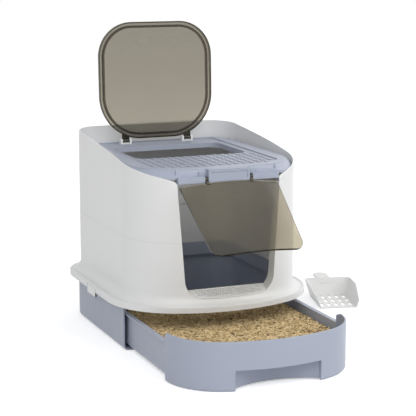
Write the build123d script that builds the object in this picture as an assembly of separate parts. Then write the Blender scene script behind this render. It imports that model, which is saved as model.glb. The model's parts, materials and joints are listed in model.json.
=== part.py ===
from build123d import *
from math import atan2, cos, sin, sqrt
import os

# Top-entry litter box. Millimetres, X right, Y to the back, Z up.
# Depths are drawn from one upright plane across the box, and every piece is moved at the end
# so that the origin is on the floor at the centre of the base's footprint.

# Clearances
fit_gap = 0.3
pin_gap = 0.05
drawer_gap = 1.5
lift_gap = 0.6

# Base housing
base_width = 379
base_front_reach = 160
base_rear_reach = 188
base_wall = 3
base_corner = 62
base_edge_round = 11
base_top = 107
seat_thickness = 3
collar_top = 134
collar_wall = 2.5
catch_rim_top = 101
catch_rim_thickness = 3

# Drawer tray
drawer_open = 220
drawer_floor_lift = 0.5
drawer_wall = 3
drawer_height = 77.5
drawer_lip = 6.5
drawer_lip_thickness = 3
drawer_edge_round = 12
front_height = 95.5
front_width = 370
front_overhang = 123
front_bow = 329
front_corner = 114
front_wall = 3.5
front_foot_round = 5
front_ear_round = 8
front_rim_round = 1.5
floor_clearance = 0.5
recess_width = 176
recess_height = 41
recess_end_depth = 10
recess_depth = 45
litter_top = 58

# Hood, lower and upper sections
hood_width = 370
hood_nose = 277
hood_bow = 308
hood_corner = 133
hood_rear = 183
hood_rear_corner = 56
hood_wall = 3
seam_height = 234
tongue_height = 8
tongue_wall = 2.5
rim_rear = 414
rim_corner = 410
rim_middle = 399
rim_side = 377.5
rim_shoulder = 363.5
rim_front = 345
rim_middle_run = 270
rim_side_run = 108
rim_shoulder_run = 45
rim_lip = 354
rim_lip_run = 25
rim_front_run = 20
flange_overhang = 23.5
flange_nose = 294
flange_bow = 316
flange_corner = 153
flange_rear = 205
flange_rear_corner = 95
flange_thickness = 3
flange_edge_round = 2
skirt_drop = 9.5
skirt_wall = 3
cove_round = 18
bead_width = 2
bead_depth = 0.8

# Front doorway
door_top_half = 109
door_foot_half = 93.5
door_gauge_height = 345
door_foot_round = 38
sill_height = 121
sill_inner_height = 133
sill_outer_height = 123.5
jamb_wall = 3
jamb_rear = 235
mesh_pitch = 6
mesh_hole = 4.2
mesh_border = 4

# Top deck
deck_top = 377
deck_wall = 3
deck_skirt = 18
deck_slope_drop = 14
crown_inset = 17
crown_bow = 480
crown_corner = 88
crown_rear = 171
crown_rear_corner = 45
deck_front = 240
shelf_width = 6
shelf_thickness = 3
shelf_front = 140
well_width = 278
well_margin = 16
well_rear = 165
well_corner = 12
well_depth = 2
hole_width = 246
hole_front = 73
hole_rear = 101
hole_corner = 26
hole_lip = 8
bump_length = 15
bump_width = 9
bump_height = 1.4
bump_pitch_x = 16.8
bump_pitch_y = 22
bump_margin = 5

# Deck nose that carries the flap
nose_half = 107.5
nose_front = 257
nose_bar_rear = 247
nose_bar_bottom = 351
nose_bar_top = 363
nose_curve = ((0, 0), (0.35, 0.08), (0.7, 0.42), (1, 1))
slot_centre = 47.5
slot_width = 7.4
housing_width = 17
housing_front = 249
housing_top = 372
cover_height = 25
cover_proud = 1
cover_panel_margin = 5
cover_panel_depth = 1

# Front flap
flap_axis_setback = 5.5
flap_axis_rise = 6
flap_length = 196
flap_top_half = 104.5
flap_foot_half = 95.5
flap_foot_round = 25
flap_thickness = 3.5
flap_bow = 600
flap_start = 12
flap_open = 54
flap_knuckle_radius = 4
flap_pin_radius = 1.5
flap_pin_length = 20

# Lid over the entry hole
lid_width = 263
lid_length = 255
lid_front_corner = 76
lid_rear_corner = 95
lid_thickness = 3
lid_start = 4
lid_tab_length = 22
lid_bead_width = 13
lid_bead_height = 3.8
lid_bead_groove = 4
lid_bead_groove_depth = 2.5
lid_crease = 33
lid_crease_width = 2
lid_crease_height = 0.6
lid_open = 92
lid_axis_y = 150
lid_axis_z = 382
lid_knuckle_radius = 4
lid_pin_radius = 1.5
lid_clip_centre = 72.5
lid_clip_width = 25
lid_clip_cheek = 4
lid_clip_radius = 4.5
lid_clip_foot = 2
lid_clip_rear = 9

# Side clips that hold the hood to the base
clip_front = -51
clip_rear = 5
clip_bottom = 88
clip_thickness = 3
clip_barrel_radius = 3
clip_pin_radius = 1.2
clip_pin_bearing = 5
clip_axis_drop = 3.5
clip_catch_height = 4
clip_notch_gap = 0.5

# Scoop
scoop_centre_x = 385
scoop_centre_y = 30
scoop_turn = 75
scoop_length = 125
scoop_width = 84
scoop_mouth_width = 110
scoop_height = 40
scoop_wall = 2.5
scoop_corner = 12
scoop_flare = 8
scoop_mouth_drop = 22
scoop_mouth_run = 69
scoop_slot_margin = 12
scoop_slot_length = 26
scoop_slot_width = 8
scoop_slot_rows = 5
scoop_slot_columns = 3
scoop_handle_length = 95
scoop_handle_width = 32
scoop_handle_thickness = 5
scoop_handle_height = 26

# Values worked out from the sizes above
base_front = -base_front_reach
base_rear = base_rear_reach
hood_plan = (hood_width / 2, -hood_nose, hood_bow, hood_corner, hood_rear, hood_rear_corner)
flange_half = base_width / 2 + flange_overhang
flange_plan = (
    flange_half,
    -flange_nose,
    flange_bow,
    flange_corner,
    flange_rear,
    flange_rear_corner,
)
front_plan = (
    front_width / 2,
    base_front - front_overhang,
    front_bow,
    front_corner,
    base_rear,
    base_corner,
)
flap_axis_y = -nose_front + flap_axis_setback
flap_axis_z = nose_bar_bottom + flap_axis_rise
base_middle = (base_front + base_rear) / 2
flange_top = base_top + flange_thickness
skirt_bottom = base_top - skirt_drop
drawer_inset = base_wall + drawer_gap + drawer_lip
drawer_floor = base_wall + drawer_floor_lift
deck_inset = hood_wall + lift_gap
well_floor = deck_top - well_depth
shelf_top = deck_top - deck_skirt
crown_plan = (
    hood_width / 2 - crown_inset,
    -deck_front,
    crown_bow,
    crown_corner,
    crown_rear,
    crown_rear_corner,
)
well_bow_plan = crown_plan[:4] + (crown_rear + well_margin, crown_rear_corner)
reach = 1000


# Shared outlines and solids
def shield(plan, inset=0):
    """Plan outline with a bowed front, round front corners and a flat back."""
    half, nose, bow, corner, rear, rear_corner = plan
    bow_y = nose + bow
    span = bow - corner
    corner_x = half - corner
    corner_y = bow_y - sqrt(span**2 - corner_x**2)
    turn = atan2(corner_y - bow_y, corner_x)
    bow = bow - inset
    corner = corner - inset
    rear_corner = rear_corner - inset
    half = half - inset
    rear = rear - inset
    joint_x = bow * cos(turn)
    joint_y = bow_y + bow * sin(turn)
    mid_x = corner_x + corner * cos(turn / 2)
    mid_y = corner_y + corner * sin(turn / 2)
    rear_x = half - rear_corner
    rear_y = rear - rear_corner
    bulge = rear_corner * sqrt(0.5)
    return Face(Wire([
        ThreePointArc((-joint_x, joint_y), (0, bow_y - bow), (joint_x, joint_y)),
        ThreePointArc((joint_x, joint_y), (mid_x, mid_y), (half, corner_y)),
        Line((half, corner_y), (half, rear_y)),
        ThreePointArc((half, rear_y), (rear_x + bulge, rear_y + bulge), (rear_x, rear)),
        Line((rear_x, rear), (-rear_x, rear)),
        ThreePointArc((-rear_x, rear), (-rear_x - bulge, rear_y + bulge), (-half, rear_y)),
        Line((-half, rear_y), (-half, corner_y)),
        ThreePointArc((-half, corner_y), (-mid_x, mid_y), (-joint_x, joint_y)),
    ]))


def stall(half, front, rear, corner, inset=0):
    """Plan outline with a straight front edge and round rear corners."""
    half = half - inset
    rear = rear - inset
    corner = corner - inset
    rear_x = half - corner
    rear_y = rear - corner
    bulge = corner * sqrt(0.5)
    return Face(Wire([
        Line((-half, front), (half, front)),
        Line((half, front), (half, rear_y)),
        ThreePointArc((half, rear_y), (rear_x + bulge, rear_y + bulge), (rear_x, rear)),
        Line((rear_x, rear), (-rear_x, rear)),
        ThreePointArc((-rear_x, rear), (-rear_x - bulge, rear_y + bulge), (-half, rear_y)),
        Line((-half, rear_y), (-half, front)),
    ]))


def prism(face, low, high):
    """Upright prism of a plan outline between two heights."""
    return Pos(0, 0, low) * extrude(face, high - low)


def block(x0, x1, y0, y1, z0, z1):
    """Box given by its low and high corners."""
    centre = Pos((x0 + x1) / 2, (y0 + y1) / 2, (z0 + z1) / 2)
    return centre * Box(x1 - x0, y1 - y0, z1 - z0)


def side_prism(points, x0, x1):
    """Prism along X of an outline given as (Y, Z) points."""
    face = Plane.YZ * make_face(Polyline(*points, close=True))
    return Pos(x0, 0, 0) * extrude(face, x1 - x0)


def front_prism(face, y0, y1):
    """Prism along Y of an outline drawn with X across and Z up."""
    return Pos(0, y1, 0) * extrude(Plane.XZ * face, y1 - y0)


def rod(x0, x1, y, z, radius):
    """Cylinder along X."""
    return Pos((x0 + x1) / 2, y, z) * Rot(0, 90, 0) * Cylinder(radius, x1 - x0)


def rod_y(y0, y1, x, z, radius):
    """Cylinder along Y."""
    return Pos(x, (y0 + y1) / 2, z) * Rot(90, 0, 0) * Cylinder(radius, y1 - y0)


def mirror_x(shape):
    """Mirror image across the middle plane."""
    return mirror(shape, Plane.YZ)


def behind(y):
    """Everything behind a depth."""
    return block(-reach, reach, y, reach, -reach, reach)


# Base housing: floor, walls, seat for the hood, splash collar and catch rim
def make_base():
    half = base_width / 2
    outer = prism(stall(half, base_front, base_rear, base_corner), 0, base_top)
    foot_edges = outer.edges().group_by(Axis.Z)[0].sort_by(Axis.Y)[1:]
    outer = fillet(foot_edges, base_edge_round)
    past_front = base_front - 10
    space = prism(
        stall(half, past_front, base_rear, base_corner, base_wall), base_wall, base_top + 10
    )
    space_edges = space.edges().group_by(Axis.Z)[0].sort_by(Axis.Y)[1:]
    space = fillet(space_edges, base_edge_round - base_wall)
    shell = outer - space
    collar_outset = hood_wall + lift_gap
    collar_outer = shield(hood_plan, collar_outset)
    collar_inner = shield(hood_plan, collar_outset + collar_wall)
    seat_plan = stall(half, base_front, base_rear, base_corner, base_wall / 2)
    seat = prism(seat_plan, base_top - seat_thickness, base_top)
    collar = prism(collar_outer, base_top - seat_thickness, collar_top)
    well = prism(collar_inner, base_top - 2 * seat_thickness, collar_top + 1)
    collar = (collar - well) & behind(base_front)
    seat = seat - well
    rim_inset = skirt_wall + clip_barrel_radius + lift_gap
    inner_plan = stall(half, base_front - 1, base_rear, base_corner, base_wall / 2)
    rim_bottom = catch_rim_top - catch_rim_thickness
    rim = prism(shield(flange_plan, rim_inset), rim_bottom, catch_rim_top)
    rim = rim & behind(base_front)
    rim = rim - prism(inner_plan, rim_bottom - 1, catch_rim_top + 1)
    return shell + seat + collar + rim


# Drawer tray, modelled closed and then pulled out
def recess_face(extra):
    """Plan of the finger recess, with its back wall pushed in by extra."""
    half = recess_width / 2 + extra
    nose = base_front - front_overhang
    bow_y = nose + front_bow
    end_y = bow_y - sqrt(front_bow**2 - (recess_width / 2) ** 2) + recess_end_depth + extra
    mid_y = nose + recess_depth + extra
    outside = nose - 5
    return Face(Wire([
        Line((-half, outside), (half, outside)),
        Line((half, outside), (half, end_y)),
        ThreePointArc((half, end_y), (0, mid_y), (-half, end_y)),
        Line((-half, end_y), (-half, outside)),
    ]))


def tray_space(gap):
    """Room inside the tray, smaller by a gap on every side."""
    half = base_width / 2
    inset = drawer_inset + drawer_wall + gap
    step = front_wall + gap
    low = drawer_floor + drawer_wall + gap
    rear_room = prism(
        stall(half, base_front - 2 * step, base_rear, base_corner, inset), low, front_height + 5
    )
    rear_edges = rear_room.edges().group_by(Axis.Z)[0].sort_by(Axis.Y)[1:]
    rear_room = fillet(rear_edges, drawer_edge_round - drawer_wall)
    front_room = prism(shield(front_plan, step), low, front_height + 5)
    front_room = front_room - behind(base_front - fit_gap - step)
    pocket = prism(recess_face(front_wall + gap), 0, recess_height + front_wall + gap)
    return rear_room + front_room - pocket


def make_tray():
    half = base_width / 2
    body = prism(
        stall(half, base_front - front_wall, base_rear, base_corner, drawer_inset),
        drawer_floor,
        drawer_height,
    )
    body_edges = body.edges().group_by(Axis.Z)[0].sort_by(Axis.Y)[1:]
    body = fillet(body_edges, drawer_edge_round)
    lip = prism(
        stall(half, base_front - front_wall, base_rear, base_corner, base_wall + drawer_gap),
        drawer_height - drawer_lip_thickness,
        drawer_height,
    )
    front = prism(shield(front_plan), floor_clearance, front_height)
    front = front - behind(base_front - fit_gap)
    ear_edges = front.edges().group_by(Axis.Z)[-1].sort_by(Axis.Y)[-1:]
    front = fillet(ear_edges, front_ear_round)
    rim_edges = front.edges().group_by(Axis.Z)[-1].sort_by(Axis.Y)[:-1]
    front = fillet(rim_edges, front_rim_round)
    foot_edges = front.edges().group_by(Axis.Z)[0].sort_by(Axis.Y)[:-1]
    front = fillet(foot_edges, front_foot_round)
    under = prism(shield(front_plan, front_wall), floor_clearance - 1, drawer_floor)
    under = under - behind(base_front - fit_gap - front_wall)
    tray = body + lip + (front - under)
    tray = tray - tray_space(0)
    return tray - prism(recess_face(0), -1, recess_height)


def pulled(shape):
    return Pos(0, -drawer_open, 0) * shape


def make_litter():
    top = block(-reach, reach, -reach, reach, litter_top, reach)
    return tray_space(fit_gap) - top


# Front doorway: its outline, the tunnel behind it and the sill grid
def door_face(extra=0):
    """Doorway outline, wider by extra all round, open past the top of the hood."""
    lean = (door_top_half - door_foot_half) / (door_gauge_height - sill_height)
    low = sill_height - extra
    high = rim_rear + 20
    foot = door_foot_half + extra
    top = foot + lean * (high - low)
    face = make_face(Polyline((-foot, low), (foot, low), (top, high), (-top, high), close=True))
    return fillet(face.vertices().group_by(Axis.Y)[0], door_foot_round + extra)


def door_cut():
    return front_prism(door_face(), -reach, -jamb_rear + 1)


def door_jamb():
    """Walls of the doorway's tunnel, from the hood's face to the inner end."""
    jamb = front_prism(door_face(jamb_wall), -hood_nose - 1, -jamb_rear)
    return jamb & prism(shield(hood_plan), 0, rim_rear + 30)


def make_sill():
    step = front_prism(door_face(-fit_gap), -hood_nose, -jamb_rear)
    step = step & prism(shield(hood_plan, fit_gap), 0, rim_rear)
    low = sill_height - 1
    step = step & side_prism(
        [
            (-hood_nose - 1, low),
            (-jamb_rear + 1, low),
            (-jamb_rear + 1, sill_inner_height),
            (-hood_nose - 1, sill_outer_height),
        ],
        -door_top_half,
        door_top_half,
    )
    flat_half = door_foot_half - door_foot_round / 2 - mesh_border
    columns = int(2 * flat_half / mesh_pitch)
    room = hood_nose - jamb_rear - 2 * mesh_border
    rows = int(room / mesh_pitch)
    holes = []
    for row in range(rows):
        y = -jamb_rear - mesh_border - (row + 0.5) * mesh_pitch
        for column in range(columns):
            x = (column - (columns - 1) / 2) * mesh_pitch
            face_y = -hood_nose + hood_bow - sqrt(hood_bow**2 - x**2)
            if y > face_y + mesh_border + mesh_pitch / 2:
                holes.append(Pos(x, y) * Rectangle(mesh_hole, mesh_hole))
    pattern = Sketch() + holes
    return step - prism(pattern, low - 1, sill_inner_height + 5)


# Hood: rim profile, lower section with the flange, and upper section
def rim_cut():
    """Everything above the sloping rim."""
    profile = Spline(
        (-hood_nose - rim_front_run, rim_front - 2 * rim_front_run),
        (-hood_nose + rim_front_run, rim_front),
        (-hood_nose + rim_lip_run, rim_lip),
        (-hood_nose + rim_shoulder_run, rim_shoulder),
        (-hood_nose + rim_side_run, rim_side),
        (-hood_nose + rim_middle_run, rim_middle),
        (hood_rear - hood_rear_corner, rim_corner),
        (hood_rear, rim_rear),
        (hood_rear + hood_rear_corner, rim_rear),
    )
    top = rim_rear + 60
    start = profile @ 0
    end = profile @ 1
    outline = Wire([
        profile.edge(),
        Line((end.X, end.Y), (end.X, top)),
        Line((end.X, top), (start.X, top)),
        Line((start.X, top), (start.X, start.Y)),
    ])
    face = Plane.YZ * Face(outline)
    return extrude(face, reach / 2, both=True)


def hood_ring(low, high, outer=0, inner=hood_wall):
    """Stretch of wall that follows the hood's plan."""
    ring = prism(shield(hood_plan, outer), low, high)
    return ring - prism(shield(hood_plan, inner), low - 1, high + 1)


def make_hood_lower():
    plate = prism(shield(hood_plan, -3 * cove_round), base_top, flange_top)
    tower = prism(shield(hood_plan), flange_top, seam_height)
    body = plate + tower
    foot_edges = []
    for edge in body.edges():
        middle = edge @ 0.5
        if abs(middle.Z - flange_top) < 0.01 and abs(middle.X) < hood_plan[0] + 1:
            if -hood_nose - 1 < middle.Y < hood_rear + 1:
                foot_edges.append(edge)
    body = fillet(foot_edges, cove_round)
    foot = prism(shield(flange_plan), base_top, flange_top)
    foot = fillet(foot.edges().group_by(Axis.Z)[-1], flange_edge_round)
    rise = prism(shield(flange_plan, flange_edge_round), flange_top, seam_height)
    body = body & (foot + rise)
    groove = prism(shield(hood_plan, -cove_round - bead_width), flange_top - bead_depth, flange_top)
    groove = groove - prism(shield(hood_plan, -cove_round), base_top, seam_height)
    groove = groove - behind(hood_rear - hood_rear_corner)
    skirt = prism(shield(flange_plan), skirt_bottom, base_top)
    skirt = skirt - prism(shield(flange_plan, skirt_wall), skirt_bottom - 1, base_top)
    body = body - groove + skirt
    body = body - prism(shield(hood_plan, hood_wall), base_top - 1, seam_height + 1)
    jamb = door_jamb() & block(-reach, reach, -reach, reach, base_top, seam_height)
    body = body + jamb - door_cut()
    for side in (-1, 1):
        body = body - clip_notch(side) + clip_lugs(side) - clip_bore(side)
    return body


def make_hood_upper():
    body = hood_ring(seam_height, rim_rear + 5)
    tongue = hood_ring(
        seam_height - tongue_height,
        seam_height + tongue_height,
        hood_wall + fit_gap,
        hood_wall + fit_gap + tongue_wall,
    )
    bridge = hood_ring(
        seam_height, seam_height + tongue_height, hood_wall / 2, hood_wall + fit_gap + tongue_wall
    )
    clear = front_prism(door_face(jamb_wall + fit_gap), -reach, -jamb_rear + 1)
    tongue = tongue - clear
    shelf = hood_ring(
        shelf_top - shelf_thickness, shelf_top, hood_wall / 2, hood_wall + shelf_width
    )
    shelf = shelf & behind(-shelf_front)
    jamb = door_jamb() & block(-reach, reach, -reach, reach, seam_height, rim_front)
    body = body + jamb + tongue + bridge + shelf
    return body - door_cut() - rim_cut()


# Top deck: border, well with the entry hole, grip bumps and the nose
def well_face(extra=0):
    """Outline of the well, with its front edge along the crown's bow."""
    depth = deck_front + well_rear + 2 * extra
    width = well_width + 2 * extra
    centre_y = (well_rear - deck_front) / 2
    plan = Pos(0, centre_y) * RectangleRounded(width, depth, well_corner + extra)
    return plan & shield(well_bow_plan, well_margin - extra)


def hole_face(extra=0):
    depth = hole_front + hole_rear + 2 * extra
    width = hole_width + 2 * extra
    centre_y = (hole_rear - hole_front) / 2
    return Pos(0, centre_y) * RectangleRounded(width, depth, hole_corner + extra)


def bump_field():
    """Raised grip bumps between the entry hole and the well's front edge."""
    field = well_face(-bump_margin)
    bumps = []
    first = hole_front + bump_margin + bump_length / 2
    rows = int((deck_front - first) / bump_pitch_y) + 1
    columns = int(well_width / bump_pitch_x)
    for row in range(rows):
        y = -first - row * bump_pitch_y
        for column in range(columns):
            x = (column - (columns - 1) / 2) * bump_pitch_x
            bump = Pos(x, y) * Rot(0, 0, 90) * SlotOverall(bump_length, bump_width)
            if (field & bump).area > 0.99 * bump.area:
                bumps.append(bump)
    return prism(Sketch() + bumps, well_floor - 0.5, well_floor + bump_height)


def nose_profile(inset):
    """Outer edge of the nose, from the border down to the bars, as (Y, Z) points."""
    run = nose_bar_rear - deck_front
    drop = deck_top - nose_bar_top
    return [
        (-deck_front - run * across + inset, deck_top - drop * down - inset)
        for across, down in nose_curve
    ]


def deck_block(inset):
    """Outer form of the deck, shrunk by inset: crown, slope to the hood's wall and apron."""
    crown = Pos(0, 0, deck_top - inset) * shield(crown_plan, inset)
    low = deck_top - deck_slope_drop - inset
    wall_plan = shield(hood_plan, deck_inset + inset)
    slope = loft([Pos(0, 0, low) * wall_plan, crown], ruled=True)
    body = slope + prism(wall_plan, shelf_top - inset, low)
    profile = nose_profile(inset)
    foot = profile[-1][0]
    behind_apron = profile + [(foot, 0), (reach, 0), (reach, profile[0][1])]
    return body & side_prism(behind_apron, -reach, reach)


def make_deck():
    deck = deck_block(0) - deck_block(deck_wall)
    deck = deck + prism(well_face(deck_wall), well_floor - deck_wall, deck_top)
    deck = deck - prism(well_face(), well_floor, deck_top + 1)
    lip = prism(hole_face(deck_wall), well_floor - deck_wall - hole_lip, well_floor)
    deck = deck + lip - prism(hole_face(), well_floor - deck_wall - hole_lip - 1, deck_top)
    deck = deck + bump_field()
    cheek = nose_profile(0)
    cheek = cheek + [(-nose_bar_rear, nose_bar_bottom + 1), (-deck_front, nose_bar_bottom + 1)]
    for side in (-1, 1):
        x0, x1 = sorted((side * nose_half, side * (nose_half - deck_wall)))
        deck = deck + side_prism(cheek, x0, x1)
        slot_edge = slot_centre + slot_width / 2
        x0, x1 = sorted((side * slot_edge, side * nose_half))
        bar = block(x0, x1, -nose_front, -nose_bar_rear + 1, nose_bar_bottom, nose_bar_top)
        housing_edge = slot_centre - slot_width / 2 + fit_gap
        x0, x1 = sorted((side * housing_edge, side * (housing_edge + housing_width)))
        housing = block(x0, x1, -housing_front, -nose_bar_rear + 1, nose_bar_top, housing_top)
        deck = deck + bar + housing
        bore_start = slot_centre
        x0, x1 = sorted((side * bore_start, side * (slot_centre + flap_pin_length / 2)))
        deck = deck - rod(x0, x1, flap_axis_y, flap_axis_z, flap_pin_radius + pin_gap)
    return deck


def make_cover():
    half = slot_centre - slot_width / 2
    front = -nose_front - cover_proud
    top = nose_bar_bottom + cover_height
    upper, apron = nose_profile(0)[1:3]
    share = (upper[1] - top) / (upper[1] - apron[1])
    back = upper[0] + (apron[0] - upper[0]) * share - fit_gap
    cover = side_prism(
        [
            (front, nose_bar_bottom),
            (front, top),
            (back, top),
            (apron[0] - fit_gap, apron[1]),
            (-nose_bar_rear - fit_gap, nose_bar_top + fit_gap),
            (-nose_bar_rear - fit_gap, nose_bar_bottom),
        ],
        -half,
        half,
    )
    margin = cover_panel_margin
    panel = block(
        -half + margin,
        half - margin,
        front - 1,
        front + cover_panel_depth,
        nose_bar_bottom + margin,
        top - margin,
    )
    cover = cover - panel
    for side in (-1, 1):
        inner_end = slot_centre - flap_pin_length / 2
        x0, x1 = sorted((side * inner_end, side * slot_centre))
        cover = cover - rod(x0, x1, flap_axis_y, flap_axis_z, flap_pin_radius + pin_gap)
    return cover


def make_flap_pin(side):
    half = flap_pin_length / 2 - fit_gap
    centre = side * slot_centre
    return rod(centre - half, centre + half, flap_axis_y, flap_axis_z, flap_pin_radius)


# Front flap, drawn hanging from its axis and then swung out
def make_flap():
    foot = flap_foot_half
    face = make_face(
        Polyline(
            (-foot, -flap_length),
            (foot, -flap_length),
            (flap_top_half, -flap_start),
            (-flap_top_half, -flap_start),
            close=True,
        )
    )
    face = fillet(face.vertices().group_by(Axis.Y)[0], flap_foot_round)
    sheet = front_prism(face, -reach / 10, reach / 10)
    half = flap_thickness / 2
    bend = Pos(0, flap_bow, -reach / 4) * Cylinder(flap_bow + half, reach)
    bend = bend - Pos(0, flap_bow, -reach / 4) * Cylinder(flap_bow - half, reach + 2)
    flap = sheet & bend
    sag = slot_centre**2 / (2 * flap_bow)
    width = slot_width / 2 - fit_gap
    for side in (-1, 1):
        x0 = side * slot_centre - width
        x1 = side * slot_centre + width
        arm = block(x0, x1, -half, half + sag, -flap_start - 3, 0)
        flap = flap + arm + rod(x0, x1, 0, 0, flap_knuckle_radius)
        flap = flap - rod(x0 - 1, x1 + 1, 0, 0, flap_pin_radius + pin_gap)
    return Pos(0, flap_axis_y, flap_axis_z) * Rot(-flap_open, 0, 0) * flap


# Lid, drawn closed from its axis and then swung open
def lid_face(inset):
    plan = Rectangle(lid_width - 2 * inset, lid_length - 2 * inset)
    plan = fillet(plan.vertices().group_by(Axis.Y)[0], lid_front_corner - inset)
    plan = fillet(plan.vertices().group_by(Axis.Y)[-1], lid_rear_corner - inset)
    return Pos(0, -lid_start - lid_length / 2) * plan


def make_lid():
    top = lid_thickness / 2
    under = top - lid_thickness
    lid = prism(lid_face(0), under, top)
    bead = prism(lid_face(0), under - lid_bead_height, under)
    bead = bead - prism(lid_face(lid_bead_width), under - lid_bead_height - 1, under)
    groove_start = (lid_bead_width - lid_bead_groove) / 2
    groove = prism(
        lid_face(groove_start),
        under - lid_bead_height - 1,
        under - lid_bead_height + lid_bead_groove_depth,
    )
    groove = groove - prism(
        lid_face(groove_start + lid_bead_groove), under - lid_bead_height - 2, under
    )
    lid = lid + (bead - groove)
    crease_y = -lid_start - lid_crease
    crease = block(
        -lid_width,
        lid_width,
        crease_y - lid_crease_width / 2,
        crease_y + lid_crease_width / 2,
        under - lid_crease_height,
        under,
    )
    crease = crease & prism(lid_face(lid_bead_width), under - lid_crease_height, under)
    lid = lid + crease
    tab_half = lid_clip_width / 2 - lid_clip_cheek - fit_gap
    for side in (-1, 1):
        x0 = side * lid_clip_centre - tab_half
        x1 = side * lid_clip_centre + tab_half
        web = block(x0, x1, -lid_tab_length, 0, under, top)
        lid = lid + web + rod(x0, x1, 0, 0, lid_knuckle_radius)
        lid = lid - rod(x0 - 1, x1 + 1, 0, 0, lid_pin_radius + pin_gap)
    return Pos(0, lid_axis_y, lid_axis_z) * Rot(-lid_open, 0, 0) * lid


def make_lid_clip(side):
    """Bracket with two cheeks that stands in the well and holds one hinge pin."""
    half = lid_clip_width / 2
    centre = side * lid_clip_centre
    front = lid_axis_y - lid_clip_radius
    rear = lid_axis_y + lid_clip_rear
    clip = block(centre - half, centre + half, front, rear, well_floor, well_floor + lid_clip_foot)
    for x0 in (centre - half, centre + half - lid_clip_cheek):
        x1 = x0 + lid_clip_cheek
        clip = clip + block(
            x0, x1, front, lid_axis_y + lid_clip_radius, well_floor, lid_axis_z
        )
        clip = clip + rod(x0, x1, lid_axis_y, lid_axis_z, lid_clip_radius)
    bore = rod(
        centre - half - 1, centre + half + 1, lid_axis_y, lid_axis_z, lid_pin_radius + pin_gap
    )
    return clip - bore


def make_lid_pin(side):
    half = lid_clip_width / 2
    centre = side * lid_clip_centre
    return rod(centre - half, centre + half, lid_axis_y, lid_axis_z, lid_pin_radius)


# Side clips in the skirt, each on a pin along Y
def clip_axis():
    """Distance from the middle and height of the clip's pin."""
    return flange_half - clip_barrel_radius, base_top - clip_axis_drop


def clip_notch(side):
    x0, x1 = sorted((side * (flange_half - 2 * skirt_wall), side * (flange_half + 5)))
    return block(
        x0, x1, clip_front - clip_notch_gap, clip_rear + clip_notch_gap, skirt_bottom - 1, base_top
    )


def clip_lugs(side):
    """Two lugs under the flange, one at each end of the notch."""
    axis_x, axis_z = clip_axis()
    x0, x1 = sorted((side * (axis_x - clip_barrel_radius), side * (flange_half - 0.5)))
    lugs = []
    for y0 in (clip_front - clip_notch_gap - clip_pin_bearing, clip_rear + clip_notch_gap):
        lugs.append(block(x0, x1, y0, y0 + clip_pin_bearing, skirt_bottom, base_top))
    return lugs[0] + lugs[1]


def clip_bore(side):
    axis_x, axis_z = clip_axis()
    return rod_y(
        clip_front - clip_pin_bearing,
        clip_rear + clip_pin_bearing,
        side * axis_x,
        axis_z,
        clip_pin_radius + pin_gap,
    )


def make_side_clip(side):
    axis_x, axis_z = clip_axis()
    outer = flange_half
    plate = block(outer - clip_thickness, outer, clip_front, clip_rear, clip_bottom, axis_z)
    barrel = rod_y(clip_front, clip_rear, axis_x, axis_z, clip_barrel_radius)
    rim_bottom = catch_rim_top - catch_rim_thickness
    rim_edge = flange_half - skirt_wall - clip_barrel_radius - lift_gap
    catch_top = rim_bottom - fit_gap
    catch = block(
        rim_edge + fit_gap,
        outer - clip_thickness / 2,
        clip_front + clip_thickness,
        clip_rear - clip_thickness,
        catch_top - clip_catch_height,
        catch_top,
    )
    clip = plate + barrel + catch
    clip = clip - clip_bore(1)
    return clip if side > 0 else mirror_x(clip)


def make_side_clip_pin(side):
    axis_x, axis_z = clip_axis()
    end_gap = 1
    return rod_y(
        clip_front - clip_pin_bearing + end_gap,
        clip_rear + clip_pin_bearing - end_gap,
        side * axis_x,
        axis_z,
        clip_pin_radius,
    )


# Scoop, drawn along X with its handle at the right, then turned and set on the floor
def scoop_outline(inset, height, open_front):
    """Basket outline at a height, flaring from the floor to the rim."""
    share = height / scoop_height
    width = scoop_width + (scoop_mouth_width - scoop_width) * share - 2 * inset
    rear = scoop_length / 2 + scoop_flare * share - inset
    front = -scoop_length / 2 - (20 if open_front else 0)
    centre = Pos((front + rear) / 2, 0, height)
    face = centre * Rectangle(rear - front, width)
    return fillet(face.vertices().group_by(Axis.X)[-1], scoop_corner - inset / 2)


def make_scoop():
    outer = loft([scoop_outline(0, 0, False), scoop_outline(0, scoop_height, False)])
    room = loft([
        scoop_outline(scoop_wall, scoop_wall, True),
        scoop_outline(scoop_wall, scoop_height + 1, True),
    ])
    basket = outer - room
    basket = basket - mouth_slope()
    slots = []
    run = scoop_length - 2 * scoop_slot_margin
    for column in range(scoop_slot_columns):
        x = (column - (scoop_slot_columns - 1) / 2) * run / scoop_slot_columns
        for row in range(scoop_slot_rows):
            y = (row - (scoop_slot_rows - 1) / 2) * (scoop_width - scoop_wall) / scoop_slot_rows
            slots.append(Pos(x, y) * SlotOverall(scoop_slot_length, scoop_slot_width))
    basket = basket - prism(Sketch() + slots, -1, scoop_wall + 1)
    start = scoop_length / 2 + scoop_flare * scoop_handle_height / scoop_height - scoop_wall
    handle = Rectangle(scoop_handle_length, scoop_handle_width)
    handle = fillet(handle.vertices().group_by(Axis.X)[-1], scoop_handle_width / 2 - 1)
    handle = Pos(start + scoop_handle_length / 2, 0) * handle
    handle = prism(handle, scoop_handle_height, scoop_handle_height + scoop_handle_thickness)
    scoop = basket + handle
    return Pos(scoop_centre_x, scoop_centre_y, 0) * Rot(0, 0, scoop_turn) * scoop


def mouth_slope():
    """Slope that lowers the side walls toward the open front."""
    front = -scoop_length / 2
    face = Plane.XZ * make_face(
        Polyline(
            (front - 1, scoop_height - scoop_mouth_drop),
            (front + scoop_mouth_run, scoop_height + 1),
            (front - 1, scoop_height + 1),
            close=True,
        )
    )
    return extrude(face, scoop_mouth_width, both=True)


def write(name, shape):
    export_step(Pos(0, -base_middle, 0) * shape, "parts/" + name + ".step")


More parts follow.
